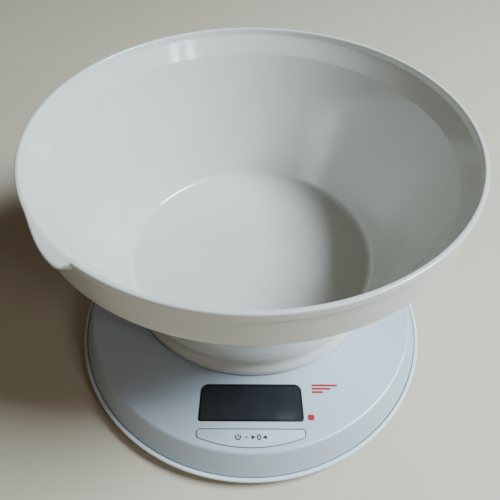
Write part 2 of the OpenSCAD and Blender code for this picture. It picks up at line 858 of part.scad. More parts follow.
bowl();
weighing_platform();
platform_carrier();
platform_screws();
carrier_screws();
top_spacer();
load_cell();
strain_gauges();
gauge_coating();
base_spacer();
load_cell_screws();
overload_stop();
load_cell_wires();
upper_housing();
lower_housing();
housing_screws();
rubber_feet();
rating_label();
display_window();
window_tape();
lcd_glass();
lcd_frame();
contact_strips();
circuit_board();
board_screws();
processor_blob();
capacitors();
crystal();
wire_socket();
tact_switch();
switch_plunger();
switch_terminals();
tare_key();
key_post();
battery_door();
batteries();
battery_contacts();
bridge_contact();
battery_leads();
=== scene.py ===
"""Looks of the kitchen scale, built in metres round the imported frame."""

import json
import logging
import math
from dataclasses import dataclass, field
from enum import Enum
from typing import Callable, Iterable, Optional, Sequence, Union

import bmesh
import bpy
from mathutils import Matrix, Vector

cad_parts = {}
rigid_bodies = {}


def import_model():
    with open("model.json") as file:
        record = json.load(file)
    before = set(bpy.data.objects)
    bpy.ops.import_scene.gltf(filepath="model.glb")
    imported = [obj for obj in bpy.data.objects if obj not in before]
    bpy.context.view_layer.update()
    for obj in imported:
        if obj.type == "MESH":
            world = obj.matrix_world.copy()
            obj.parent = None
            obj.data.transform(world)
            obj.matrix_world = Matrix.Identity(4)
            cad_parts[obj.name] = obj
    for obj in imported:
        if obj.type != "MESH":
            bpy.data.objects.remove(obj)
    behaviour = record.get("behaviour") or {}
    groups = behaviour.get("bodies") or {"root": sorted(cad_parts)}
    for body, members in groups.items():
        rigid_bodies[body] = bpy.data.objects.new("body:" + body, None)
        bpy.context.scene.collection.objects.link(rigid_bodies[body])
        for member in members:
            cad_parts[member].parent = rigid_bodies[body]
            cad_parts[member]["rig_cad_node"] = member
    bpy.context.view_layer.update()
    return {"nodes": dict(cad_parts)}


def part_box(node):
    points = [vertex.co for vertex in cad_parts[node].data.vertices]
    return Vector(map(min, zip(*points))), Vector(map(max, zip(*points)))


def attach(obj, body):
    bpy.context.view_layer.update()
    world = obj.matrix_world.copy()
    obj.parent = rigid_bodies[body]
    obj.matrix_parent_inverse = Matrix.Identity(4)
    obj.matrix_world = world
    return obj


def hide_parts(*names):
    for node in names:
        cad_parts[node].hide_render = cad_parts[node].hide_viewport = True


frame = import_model()

LOG = logging.getLogger("kitchen_scale")
MM = 0.001

Point = tuple[float, float]
Colour = tuple[float, float, float]
Number = Union[float, "Signal"]


class Axis(Enum):
    """Which way bands of colour follow one another."""

    X = "X"
    Y = "Y"


# ---------------------------------------------------------------- outlines


def fillet(before: Point, at: Point, after: Point, radius: float, steps: int) -> list[Point]:
    """Rounds one corner of an outline.

    Args:
        before: The point that the outline comes from.
        at: The sharp corner.
        after: The point that the outline goes to.
        radius: The radius of the arc.
        steps: How many stretches the arc is drawn with.

    Returns:
        The points of the arc, from the incoming side to the outgoing side.
    """
    corner = Vector(at)
    back = (Vector(before) - corner).normalized()
    ahead = (Vector(after) - corner).normalized()
    half = math.acos(max(-1.0, min(1.0, back.dot(ahead)))) / 2
    middle = corner + (back + ahead).normalized() * (radius / math.sin(half))
    start = corner + back * (radius / math.tan(half)) - middle
    stop = corner + ahead * (radius / math.tan(half)) - middle
    turn = math.atan2(start.x * stop.y - start.y * stop.x, start.dot(stop))
    first = math.atan2(start.y, start.x)
    angles = [first + turn * i / steps for i in range(steps + 1)]
    return [(middle.x + radius * math.cos(a), middle.y + radius * math.sin(a)) for a in angles]


def rounded(corners: Sequence[tuple[float, float, float]], steps: int = 6) -> list[Point]:
    """Draws a closed outline with round corners.

    Args:
        corners: One (x, y, corner radius) for each corner.
        steps: How many stretches each arc is drawn with.

    Returns:
        The outline's points in order.
    """
    count = len(corners)
    points: list[Point] = []
    for i, (x, y, radius) in enumerate(corners):
        if radius <= 0:
            points.append((x, y))
            continue
        before = corners[i - 1][:2]
        after = corners[(i + 1) % count][:2]
        points += fillet(before, (x, y), after, radius, steps)
    return points


def dense(points: Sequence[Point], longest: float) -> list[Point]:
    """Splits the long stretches of a closed outline.

    Args:
        points: The outline.
        longest: The longest stretch that is left whole.

    Returns:
        The outline with points added along its straight stretches.
    """
    result: list[Point] = []
    for i, (x, y) in enumerate(points):
        nx, ny = points[(i + 1) % len(points)]
        pieces = max(1, math.ceil(math.hypot(nx - x, ny - y) / longest))
        result += [(x + (nx - x) * k / pieces, y + (ny - y) * k / pieces) for k in range(pieces)]
    return result


def smooth_step(low: float, high: float, value: float) -> float:
    """Rises smoothly from 0 at low to 1 at high."""
    t = max(0.0, min(1.0, (value - low) / (high - low)))
    return t * t * (3 - 2 * t)


# ---------------------------------------------------------------- meshes


def to_object(bm: bmesh.types.BMesh, name: str, sharp: float = 40.0) -> bpy.types.Object:
    """Turns a finished bmesh into an object at the origin.

    Args:
        bm: The mesh, in millimetres and in the frame's place.
        name: The piece's name.
        sharp: The angle in degrees past which an edge stays sharp.

    Returns:
        The object, linked to the scene.
    """
    bmesh.ops.scale(bm, vec=(MM, MM, MM), verts=bm.verts)
    for face in bm.faces:
        face.smooth = True
    mesh = bpy.data.meshes.new(name)
    bm.to_mesh(mesh)
    bm.free()
    mesh.set_sharp_from_angle(angle=math.radians(sharp))
    piece = bpy.data.objects.new(name, mesh)
    bpy.context.scene.collection.objects.link(piece)
    LOG.info("%s: %d faces", name, len(mesh.polygons))
    return piece


def tidy_mesh(bm: bmesh.types.BMesh, distance: float = 0.002) -> None:
    """Merges doubles, drops empty faces and turns every face outwards."""
    bmesh.ops.remove_doubles(bm, verts=bm.verts, dist=distance)
    bmesh.ops.dissolve_degenerate(bm, edges=bm.edges, dist=distance / 2)
    bmesh.ops.recalc_face_normals(bm, faces=bm.faces)


def spin_outline(bm: bmesh.types.BMesh, points: Sequence[Point], centre: Point, steps: int) -> list:
    """Spins a closed outline of (radius, height) points round an upright axis.

    Args:
        bm: The mesh that takes the shape.
        points: The outline.
        centre: Where the axis stands.
        steps: How many stretches the full turn has.

    Returns:
        The new vertices.
    """
    known = set(bm.verts)
    verts = [bm.verts.new((centre[0] + r, centre[1], z)) for r, z in points]
    edges = [bm.edges.new((verts[i - 1], verts[i])) for i in range(len(verts))]
    bmesh.ops.spin(
        bm,
        geom=verts + edges,
        cent=(centre[0], centre[1], 0),
        axis=(0, 0, 1),
        dvec=(0, 0, 0),
        angle=math.tau,
        steps=steps,
        use_merge=True,
    )
    return [v for v in bm.verts if v not in known]


def raise_outline(bm: bmesh.types.BMesh, points: Sequence[Point], low: float, high: float) -> list:
    """Extrudes a flat outline from one height to another.

    Args:
        bm: The mesh that takes the shape.
        points: The outline in x and y.
        low: The height of the lower face.
        high: The height of the upper face.

    Returns:
        The edges round the upper face.
    """
    face = bm.faces.new([bm.verts.new((x, y, low)) for x, y in points])
    lifted = bmesh.ops.extrude_face_region(bm, geom=[face])["geom"]
    top = [v for v in lifted if isinstance(v, bmesh.types.BMVert)]
    bmesh.ops.translate(bm, verts=top, vec=(0, 0, high - low))
    return [e for e in lifted if isinstance(e, bmesh.types.BMEdge)]


def soften(bm: bmesh.types.BMesh, edges: Iterable, width: float, segments: int = 3) -> None:
    """Rounds the given edges of a mesh."""
    bmesh.ops.bevel(
        bm,
        geom=list(edges),
        offset=width,
        offset_type="OFFSET",
        segments=segments,
        profile=0.5,
        affect="EDGES",
        material=-1,
        clamp_overlap=True,
    )


def add_disc(bm: bmesh.types.BMesh, at: Sequence[float], radius: float, height: float,
             sides: int = 32) -> list:
    """Adds an upright round post that stands at a point.

    Returns:
        The post's vertices.
    """
    place = Matrix.Translation((at[0], at[1], at[2] + height / 2))
    return bmesh.ops.create_cone(
        bm, cap_ends=True, cap_tris=False, segments=sides, radius1=radius, radius2=radius,
        depth=height, matrix=place,
    )["verts"]


def add_block(bm: bmesh.types.BMesh, low: Sequence[float], high: Sequence[float]) -> list:
    """Adds a box between two corners.

    Returns:
        The box's vertices.
    """
    size = Vector(high) - Vector(low)
    place = Matrix.Translation((Vector(low) + Vector(high)) / 2) @ Matrix.Diagonal((*size, 1))
    return bmesh.ops.create_cube(bm, size=1.0, matrix=place)["verts"]


def carve(piece: bpy.types.Object, cutters: Sequence[bpy.types.Object]) -> None:
    """Cuts closed shapes out of a piece and throws the cutters away.

    Args:
        piece: The piece that is cut.
        cutters: The shapes that are taken away.
    """
    for cutter in cutters:
        step = piece.modifiers.new("cut", "BOOLEAN")
        step.operation = "DIFFERENCE"
        step.solver = "EXACT"
        step.object = cutter
    bpy.context.view_layer.update()
    graph = bpy.context.evaluated_depsgraph_get()
    cut = bpy.data.meshes.new_from_object(piece.evaluated_get(graph))
    old = piece.data
    name = old.name
    piece.modifiers.clear()
    piece.data = cut
    bpy.data.meshes.remove(old)
    cut.name = name
    for cutter in cutters:
        data = cutter.data
        bpy.data.objects.remove(cutter)
        bpy.data.meshes.remove(data)


def round_edges(piece: bpy.types.Object, width: float, angle: float = 42.0) -> None:
    """Gives a piece a live bevel on the edges that are sharper than an angle."""
    step = piece.modifiers.new("worn_edges", "BEVEL")
    step.width = width * MM
    step.segments = 2
    step.limit_method = "ANGLE"
    step.angle_limit = math.radians(angle)
    step.use_clamp_overlap = True
    step.harden_normals = False


# ---------------------------------------------------------------- shader arithmetic


class Signal:
    """A number that a node puts out, for use in Python expressions."""

    def __init__(self, kit: "NodeKit", socket: bpy.types.NodeSocket) -> None:
        """Wraps one output socket of a node tree."""
        self.kit = kit
        self.socket = socket

    def _math(self, operation: str, first: Number, second: Optional[Number] = None) -> "Signal":
        """Adds one Math node and returns its output."""
        inputs = {0: first} if second is None else {0: first, 1: second}
        return self.kit.value("ShaderNodeMath", {"operation": operation}, inputs)

    def __add__(self, other: Number) -> "Signal":
        """Adds."""
        return self._math("ADD", self, other)

    def __radd__(self, other: Number) -> "Signal":
        """Adds, reflected."""
        return self._math("ADD", other, self)

    def __sub__(self, other: Number) -> "Signal":
        """Takes away."""
        return self._math("SUBTRACT", self, other)

    def __rsub__(self, other: Number) -> "Signal":
        """Takes away, reflected."""
        return self._math("SUBTRACT", other, self)

    def __mul__(self, other: Number) -> "Signal":
        """Multiplies."""
        return self._math("MULTIPLY", self, other)

    def __rmul__(self, other: Number) -> "Signal":
        """Multiplies, reflected."""
        return self._math("MULTIPLY", other, self)

    def __truediv__(self, other: Number) -> "Signal":
        """Divides."""
        return self._math("DIVIDE", self, other)

    def __pow__(self, other: Number) -> "Signal":
        """Raises to a power."""
        return self._math("POWER", self, other)

    def __gt__(self, other: Number) -> "Signal":
        """Is 1 where this is larger, else 0."""
        return self._math("GREATER_THAN", self, other)

    def __lt__(self, other: Number) -> "Signal":
        """Is 1 where this is smaller, else 0."""
        return self._math("LESS_THAN", self, other)

    def __abs__(self) -> "Signal":
        """Drops the sign."""
        return self._math("ABSOLUTE", self)

    def either(self, other: Number) -> "Signal":
        """Takes the larger of the two."""
        return self._math("MAXIMUM", self, other)

    def wave(self) -> "Signal":
        """Takes the sine, for stripes and rings."""
        return self._math("SINE", self)

    def between(self, low: float, high: float) -> "Signal":
        """Rises smoothly from 0 at low to 1 at high."""
        settings = {"interpolation_type": "SMOOTHSTEP", "clamp": True}
        sockets = {"Value": self, "From Min": low, "From Max": high}
        return self.kit.value("ShaderNodeMapRange", settings, sockets, "Result")


class NodeKit:
    """Adds nodes to one material's tree and joins them up."""

    def __init__(self, material: bpy.types.Material) -> None:
        """Clears the material's tree and places the shader and the output."""
        material.use_nodes = True
        self.tree = material.node_tree
        self.tree.nodes.clear()
        self.shader = self.tree.nodes.new("ShaderNodeBsdfPrincipled")
        output = self.tree.nodes.new("ShaderNodeOutputMaterial")
        self.tree.links.new(self.shader.outputs[0], output.inputs["Surface"])

    def node(self, kind: str, settings: Optional[dict] = None,
             sockets: Optional[dict] = None) -> bpy.types.Node:
        """Adds a node, sets it up and feeds its sockets.

        Args:
            kind: The node's type name.
            settings: Properties of the node, or a colour ramp's stops under "stops".
            sockets: A value or a link for each input, by name or number.

        Returns:
            The new node.
        """
        made = self.tree.nodes.new(kind)
        for name, value in (settings or {}).items():
            if name == "stops":
                self._set_stops(made, value)
            else:
                setattr(made, name, value)
        for name, value in (sockets or {}).items():
            self.feed(made.inputs[name], value)
        return made

    def value(self, kind: str, settings: dict, sockets: dict, output: Union[int, str] = 0) -> Signal:
        """Adds a node and wraps one of its outputs."""
        return Signal(self, self.node(kind, settings, sockets).outputs[output])

    def feed(self, socket: bpy.types.NodeSocket, value: object) -> None:
        """Links a wrapped output to a socket, or sets the socket's own value."""
        if isinstance(value, Signal):
            self.tree.links.new(value.socket, socket)
        elif isinstance(value, (tuple, list)) and socket.type == "RGBA":
            socket.default_value = (*value[:3], 1.0)
        else:
            socket.default_value = value

    def _set_stops(self, ramp_node: bpy.types.Node, stops: Sequence[tuple[float, Colour]]) -> None:
        """Writes a colour ramp's stops."""
        elements = ramp_node.color_ramp.elements
        while len(elements) > 1:
            elements.remove(elements[-1])
        for i, (place, colour) in enumerate(stops):
            stop = elements[0] if i == 0 else elements.new(place)
            stop.position = place
            stop.color = (*colour, 1.0)

    def coordinates(self) -> Signal:
        """Gives the object's own coordinates."""
        return self.value("ShaderNodeTexCoord", {}, {}, "Object")

    def axis(self, name: str) -> Signal:
        """Gives one of X, Y and Z of the object's own coordinates, in metres."""
        return self.value("ShaderNodeSeparateXYZ", {}, {0: self.coordinates()}, name)

    def noise(self, scale: float, detail: float = 2.0, roughness: float = 0.5,
              stretch: Sequence[float] = (1, 1, 1), turn: Sequence[float] = (0, 0, 0)) -> Signal:
        """Gives a noise value from 0 to 1.

        Args:
            scale: How many cells there are to a metre.
            detail: How many finer layers are added.
            roughness: How strong the finer layers are.
            stretch: The scale along each axis.
            turn: The rotation of the pattern in radians.

        Returns:
            The noise.
        """
        place = self.value("ShaderNodeMapping", {}, {
            "Vector": self.coordinates(), "Scale": tuple(stretch), "Rotation": tuple(turn)})
        sockets = {"Vector": place, "Scale": scale, "Detail": detail, "Roughness": roughness}
        return self.value("ShaderNodeTexNoise", {}, sockets, 0)

    def cells(self, scale: float, feature: str = "F1") -> Signal:
        """Gives the distance to scattered points, scale of them to a metre."""
        sockets = {"Vector": self.coordinates(), "Scale": scale}
        return self.value("ShaderNodeTexVoronoi", {"feature": feature}, sockets, "Distance")

    def blend(self, factor: Number, first: object, second: object) -> Signal:
        """Mixes two colours."""
        settings = {"data_type": "RGBA", "clamp_factor": True}
        made = self.node("ShaderNodeMix", settings)
        self.feed(made.inputs[0], factor)
        self.feed(made.inputs[6], first)
        self.feed(made.inputs[7], second)
        return Signal(self, made.outputs[2])

    def bump(self, height: Signal, depth: float, strength: float = 1.0) -> None:
        """Feeds the shader's normal from a height.

        Args:
            height: The height, from 0 to 1.
            depth: What a height of 1 stands for, in metres.
            strength: How much of the bump shows.
        """
        made = self.node("ShaderNodeBump", {}, {"Height": height, "Distance": depth, "Strength": strength})
        self.tree.links.new(made.outputs[0], self.shader.inputs["Normal"])


def tint(colour: Colour, amount: float) -> Colour:
    """Makes a colour darker (below 1) or lighter (above 1)."""
    return tuple(min(1.0, c * amount) for c in colour)


# ---------------------------------------------------------------- finishes


@dataclass(frozen=True)
class Finish:
    """A plain moulded or metal finish: an uneven colour, uneven gloss and a fine grain."""

    name: str
    slot: str
    colour: Colour
    roughness: float = 0.5
    metallic: float = 0.0
    coat: float = 0.0
    unevenness: float = 0.06
    patch_scale: float = 60.0
    grain_scale: float = 900.0
    grain_depth: float = 0.00002
    stretch: tuple[float, float, float] = (1, 1, 1)

    def build(self) -> bpy.types.Material:
        """Makes the material, once for each finish."""
        made = bpy.data.materials.get(self.name)
        if made is not None:
            return made
        made = bpy.data.materials.new(self.name)
        made.diffuse_color = (*self.colour, 1.0)
        kit = NodeKit(made)
        kit.shader.inputs["Metallic"].default_value = self.metallic
        kit.shader.inputs["Coat Weight"].default_value = self.coat
        kit.shader.inputs["Coat Roughness"].default_value = 0.06
        self.paint(kit)
        return made

    def paint(self, kit: NodeKit) -> None:
        """Fills in the colour, the roughness and the bump."""
        patches = kit.noise(self.patch_scale, 3, 0.55, self.stretch)
        grain = kit.noise(self.grain_scale, 2, 0.5, self.stretch)
        low, high = tint(self.colour, 1 - self.unevenness), tint(self.colour, 1 + self.unevenness)
        kit.feed(kit.shader.inputs["Base Color"], kit.blend(patches * 0.7 + grain * 0.3, low, high))
        kit.feed(kit.shader.inputs["Roughness"], self.roughness * (0.9 + patches * 0.1 + grain * 0.1))
        kit.bump(grain, self.grain_depth)

    def dress(self, *pieces: bpy.types.Object) -> None:
        """Puts the finish on pieces."""
        material = self.build()
        for piece in pieces:
            piece.data.materials.clear()
            piece.data.materials.append(material)


@dataclass(frozen=True)
class BowlGloss(Finish):
    """Glossy off-white plastic with moulding haze, small specks and hair scratches."""

    def paint(self, kit: NodeKit) -> None:
        """Adds specks, scratches and a faint haze to the plain plastic."""
        haze = kit.noise(14, 4, 0.6)
        flow = kit.noise(45, 3, 0.5, (1, 1, 0.25))
        base = kit.blend(haze.between(0.35, 0.7), tint(self.colour, 0.965), tint(self.colour, 1.02))
        speck_field = kit.cells(170)
        rare = kit.noise(90, 1, 0.5).between(0.62, 0.68)
        specks = (1 - speck_field.between(0.035, 0.075)) * rare
        hairs = self._hairs(kit, 0.5) + self._hairs(kit, 1.9) + self._hairs(kit, 2.7)
        marked = kit.blend(specks * 0.75, base, (0.20, 0.19, 0.17))
        worn = kit.blend(hairs * 0.10, marked, (0.42, 0.42, 0.41))
        kit.feed(kit.shader.inputs["Base Color"], worn)
        dull = haze.between(0.4, 0.8) * 0.05 + flow * 0.04 + hairs * 0.12 + specks * 0.2
        kit.feed(kit.shader.inputs["Roughness"], self.roughness + dull)
        kit.bump(flow * 0.6 + hairs * -0.25, self.grain_depth)

    def _hairs(self, kit: NodeKit, turn: float) -> Signal:
        """Draws a set of long thin scratches in one direction."""
        lines = kit.noise(260, 1, 0.4, (1, 0.03, 0.4), (0.2, 0.1, turn))
        gate = kit.noise(24, 2, 0.5, (1, 1, 1), (0, 0, turn)).between(0.52, 0.62)
        return (1 - abs(lines - 0.5).between(0.004, 0.012)) * gate


@dataclass(frozen=True)
class SatinPaint(Finish):
    """Silver-grey satin paint: fine metallic flakes under a soft clear layer."""

    def paint(self, kit: NodeKit) -> None:
        """Adds the flakes and a slow drift in tone."""
        drift = kit.noise(9, 2, 0.5)
        flakes = kit.noise(5200, 2, 0.6)
        peel = kit.noise(750, 2, 0.5)
        base = kit.blend(drift.between(0.3, 0.7), tint(self.colour, 0.97), tint(self.colour, 1.03))
        lit = kit.blend(flakes.between(0.52, 0.74) * 0.35, base, tint(self.colour, 1.22))
        kit.feed(kit.shader.inputs["Base Color"], lit)
        kit.feed(kit.shader.inputs["Roughness"], self.roughness + peel * 0.06 - flakes * 0.05)
        kit.bump(peel * 0.8 + flakes * 0.2, self.grain_depth)


@dataclass(frozen=True)
class WindowTint(Finish):
    """Dark tinted window: a black printed border round a slightly paler display field."""

    centre: Point = (0.0, 0.0)
    half: Point = (0.024, 0.009)

    def paint(self, kit: NodeKit) -> None:
        """Marks the display field inside the black border and adds faint smears; their lighter patches in
        the field are also a painted faint reflection.
        """
        x = abs(kit.axis("X") - self.centre[0]) - self.half[0]
        y = abs(kit.axis("Y") - self.centre[1]) - self.half[1]
        field_mask = 1 - x.either(y).between(-0.0004, 0.0003)
        smear_and_reflection = kit.noise(70, 4, 0.6, (1, 0.4, 1))
        # the field's lighter patches are partly smears and partly a painted faint reflection on the window
        inner = kit.blend(smear_and_reflection.between(0.3, 0.8), self.colour, tint(self.colour, 1.25))
        kit.feed(kit.shader.inputs["Base Color"], kit.blend(field_mask, (0.004, 0.004, 0.005), inner))
        kit.feed(kit.shader.inputs["Roughness"], self.roughness + smear_and_reflection * 0.08)
        kit.bump(smear_and_reflection, self.grain_depth)


@dataclass(frozen=True)
class BoardLaminate(Finish):
    """Green solder mask with copper tracks under it and bright pads."""

    def paint(self, kit: NodeKit) -> None:
        """Draws tracks from two crossed sets of stripes that fade in and out."""
        gate = kit.noise(160, 1, 0.4).between(0.45, 0.5)
        along = (kit.axis("X") * 5200).wave().between(0.1, 0.4) * gate
        across = (kit.axis("Y") * 5200).wave().between(0.1, 0.4) * (1 - gate)
        tracks = along.either(across)
        pads = 1 - kit.cells(420).between(0.10, 0.14)
        mask = kit.blend(tracks * 0.6, self.colour, tint(self.colour, 1.9))
        kit.feed(kit.shader.inputs["Base Color"], kit.blend(pads * 0.8, mask, (0.62, 0.60, 0.55)))
        kit.feed(kit.shader.inputs["Roughness"], self.roughness - pads * 0.1)
        kit.bump(tracks, self.grain_depth)


@dataclass(frozen=True)
class Striped(Finish):
    """Bands of two colours across one axis, such as a layered strip or a cell's sleeve."""

    second: Colour = (0.05, 0.05, 0.05)
    across: Axis = Axis.Y
    pitch: float = 0.001
    share: float = 0.0

    def paint(self, kit: NodeKit) -> None:
        """Draws the bands with soft edges over a fine grain."""
        wave = (kit.axis(self.across.value) * (math.tau / self.pitch)).wave()
        bands = wave.between(self.share - 0.15, self.share + 0.15)
        grain = kit.noise(self.grain_scale, 2)
        kit.feed(kit.shader.inputs["Base Color"], kit.blend(bands, self.colour, self.second))
        kit.feed(kit.shader.inputs["Roughness"], self.roughness + grain * 0.1)
        kit.bump(grain, self.grain_depth)


@dataclass(frozen=True)
class WireColours(Finish):
    """Insulation in several colours, one for each wire across a bundle."""

    stops: tuple[tuple[float, Colour], ...] = ()
    low: float = 0.0
    high: float = 1.0
    across: Axis = Axis.X

    def paint(self, kit: NodeKit) -> None:
        """Picks the colour by the wire's place across the bundle."""
        place = (kit.axis(self.across.value) - self.low) / (self.high - self.low)
        grain = kit.noise(self.grain_scale, 2)
        settings = {"stops": self.stops}
        ramp = kit.node("ShaderNodeValToRGB", settings, {0: place})
        ramp.color_ramp.interpolation = "CONSTANT"
        colour = Signal(kit, ramp.outputs[0])
        kit.feed(kit.shader.inputs["Base Color"], kit.blend(grain * 0.15, colour, (0.5, 0.5, 0.5)))
        kit.feed(kit.shader.inputs["Roughness"], self.roughness + grain * 0.1)
        kit.bump(grain, self.grain_depth)


BOWL_GLOSS = BowlGloss("bowl_gloss", "bowl_plastic", (0.57, 0.55, 0.505), roughness=0.13, coat=0.35,
                       grain_depth=0.00006)
SILVER_PAINT = SatinPaint("silver_paint", "housing_paint", (0.455, 0.50, 0.55), roughness=0.42,
                          metallic=0.20, grain_depth=0.000008)
KEY_PAINT = SatinPaint("key_paint", "housing_paint", (0.48, 0.525, 0.57), roughness=0.42,
                       metallic=0.20, grain_depth=0.000008)
SHELL_PLASTIC = Finish("shell_plastic", "base_plastic", (0.60, 0.64, 0.66), roughness=0.36,
                       unevenness=0.03, grain_scale=1400, grain_depth=0.000008)
ALUMINIUM = Finish("machined_aluminium", "cast_aluminium", (0.68, 0.69, 0.70), 0.34, 1.0,
                   grain_scale=1600, grain_depth=0.00001, stretch=(0.08, 1, 1))
CAST_ALUMINIUM = Finish("cast_aluminium", "cast_aluminium", (0.60, 0.61, 0.62), 0.5, 1.0,
                        grain_scale=700, grain_depth=0.00004)
ZINC = Finish("zinc_plate", "screw_steel", (0.62, 0.62, 0.64), 0.3, 1.0, grain_scale=2500)
NICKEL = Finish("nickel_plate", "contact_metal", (0.74, 0.73, 0.70), 0.2, 1.0, grain_scale=2500)
GAUGE_FOIL = Striped("gauge_foil", "gauge_foil", (0.62, 0.30, 0.10), 0.35, 0.6,
                     second=(0.36, 0.20, 0.06), across=Axis.Y, pitch=0.0005, grain_depth=0.000004)
SILICONE = Finish("white_silicone", "white_silicone", (0.80, 0.80, 0.76), 0.45, grain_scale=350,
                  grain_depth=0.00012)
FOOT_RUBBER = Finish("foot_rubber", "foot_rubber", (0.035, 0.035, 0.038), 0.8, grain_scale=1800,
                     grain_depth=0.00003)
LABEL_FILM = Finish("label_film", "label_film", (0.62, 0.63, 0.63), 0.32, 0.3, grain_scale=2200,
                    grain_depth=0.000004)
BLACK_TAPE = Finish("black_tape", "black_tape", (0.008, 0.008, 0.008), 0.7)
LCD_GLASS = Striped("lcd_glass", "lcd_glass", (0.30, 0.34, 0.31), 0.08, coat=0.5,
                    second=(0.31, 0.35, 0.32), across=Axis.X, pitch=0.0008, grain_depth=0.000002)
WHITE_PLASTIC = Finish("white_plastic", "white_plastic", (0.78, 0.78, 0.74), 0.42)
CONTACT_STRIP = Striped("contact_strip", "strip_rubber", (0.66, 0.42, 0.47), 0.6,
                        second=(0.05, 0.05, 0.05), across=Axis.X, pitch=0.0005)
BOARD = BoardLaminate("board_laminate", "board_laminate", (0.02, 0.13, 0.05), 0.3,
                      grain_depth=0.00002)
EPOXY = Finish("black_epoxy", "black_epoxy", (0.012, 0.012, 0.013), 0.12, coat=0.6,
               grain_scale=300, grain_depth=0.00004)
CAPACITOR = Striped("capacitor_sleeve", "capacitor_sleeve", (0.02, 0.03, 0.09), 0.3,
                    second=(0.45, 0.46, 0.48), across=Axis.X, pitch=0.007, share=0.85)
BLACK_PLASTIC = Finish("black_plastic", "black_plastic", (0.02, 0.02, 0.022), 0.45)
CELL_SLEEVE = Striped("cell_sleeve", "battery_sleeve", (0.02, 0.16, 0.08), 0.22, 0.3, coat=0.4,
                      second=(0.62, 0.50, 0.20), across=Axis.Y, pitch=0.09, share=0.6)
RED_INK = Finish("red_ink", "housing_paint", (0.33, 0.006, 0.010), 0.5, grain_scale=3000,
                 grain_depth=0.000004)
BLACK_INK = Finish("black_ink", "housing_paint", (0.012, 0.012, 0.014), 0.45, grain_scale=3000,
                   grain_depth=0.000004)


# ---------------------------------------------------------------- the bowl


@dataclass
class MixingBowl:
    """The lift-off bowl: a cone on a flared foot, a collar on a ledge, a rolled rim and a lip."""

    floor_r: float = 68.6
    wall: float = 2.6
    depth: float = 85.5
    collar_h: float = 21.2
    ledge_depth: float = 12.9
    ledge_width: float = 8.5
    lip_start: float = 211.0
    lip_crest: float = 229.5
    lip_end: float = 232.2
    lip_reach: float = 4.3
    lip_drop: float = 0.7
    lip_t: float = 1.4
    turns: int = 400
    low: Vector = field(default_factory=lambda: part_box("bowl")[0] / MM)
    high: Vector = field(default_factory=lambda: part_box("bowl")[1] / MM)

    @property
    def rim_r(self) -> float:
        """Outer radius of the rim."""
        return (self.high.x - self.low.x) / 2

    @property
    def centre(self) -> Point:
        """Where the bowl's axis stands."""
        return ((self.high.x + self.low.x) / 2, self.high.y - self.rim_r)

    def outline(self) -> list[Point]:
        """Draws the wall's section as (radius, height) points."""
        rim_z, foot_z = self.high.z, self.low.z
        floor_z = rim_z - self.depth
        ledge_z, ledge_r = rim_z - self.ledge_depth, self.rim_r - self.ledge_width
        corner_r = self.floor_r + 1.6
        slope = (ledge_r - corner_r) / (ledge_z - floor_z)
        across = self.wall * math.hypot(1, slope)
        under_z, waist_z = floor_z - self.wall, foot_z + 8.8
        flare_z, bead_z = foot_z + 3.4, rim_z - 4.2
        collar_r, skirt_z = self.rim_r - 1.2, rim_z - self.collar_h
        fold_z = ledge_z - 1.4

        def inside(z: float) -> float:
            """Radius of the cone's inner face."""
            return corner_r + (z - floor_z) * slope

        foot_r = inside(waist_z) + across + 2.3
        points = rounded([
            (0, floor_z, 0),
            (corner_r, floor_z, 5),
            (ledge_r, ledge_z, 2.5),
            (self.rim_r - 2.9, rim_z - 3.2, 4),
            (self.rim_r - 2.2, rim_z, 0.9),
            (self.rim_r, rim_z, 0.9),
            (self.rim_r, rim_z - self.lip_t, 0),
            (self.rim_r, bead_z, 0.9),
            (self.rim_r - 0.75, bead_z - 0.55, 0.35),
            (collar_r, skirt_z, 0.8),
            (collar_r - self.wall + 0.2, skirt_z, 0.8),
            (collar_r - self.wall, ledge_z + 3.2, 0.5),
            (inside(fold_z) + across, fold_z, 0.5),
            (inside(foot_z + 7) + across, foot_z + 7, 5),
            (foot_r, flare_z, 2),
            (foot_r, foot_z, 0.8),
            (foot_r - self.wall, foot_z, 0.8),
            (foot_r - self.wall, waist_z - 4.2, 1.5),
            (inside(waist_z), waist_z, 2),
            (inside(under_z), under_z, 0.5),
            (0, under_z, 0),
        ], steps=7)
        return dense(points, 4.5)

    def pull_lip(self, x: float, y: float, z: float) -> tuple[float, float, float]:
        """Pulls a point of the rim outwards and down where the pouring lip is.

        Args:
            x: Place to the right of the bowl's axis.
            y: Place behind the bowl's axis.
            z: Height in the frame.

        Returns:
            The moved point, on the same coordinates.
        """
        radius, angle = math.hypot(x, y), math.degrees(math.atan2(y, x)) % 360
        below = self.high.z - z
        if not self.lip_start < angle < self.lip_end or below > 6:
            return x, y, z
        past = max(0.0, angle - self.lip_crest) / (self.lip_end - self.lip_crest)
        weight = smooth_step(self.lip_start, self.lip_crest, angle) * math.sqrt(1 - past * past)
        outward = smooth_step(self.rim_r - 2.6, self.rim_r - 0.2, radius)
        pull = self.lip_reach * weight * outward * (1 - smooth_step(self.lip_t + 0.05, 3.2, below))
        drop = self.lip_drop * weight * outward * (1 - smooth_step(self.lip_t + 0.05, 6.0, below))
        grow = (radius + pull) / radius
        return x * grow, y * grow, z - drop

    def build(self) -> bpy.types.Object:
        """Spins the wall, pulls the lip and puts the bowl on its body."""
        bm = bmesh.new()
        spin_outline(bm, self.outline(), self.centre, self.turns)
        tidy_mesh(bm)
        cx, cy = self.centre
        for vert in bm.verts:
            x, y, z = self.pull_lip(vert.co.x - cx, vert.co.y - cy, vert.co.z)
            vert.co = (cx + x, cy + y, z)
        piece = to_object(bm, "mixing_bowl", sharp=50)
        BOWL_GLOSS.dress(piece)
        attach(piece, "bowl")
        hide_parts("bowl")
        return piece


# ---------------------------------------------------------------- the base


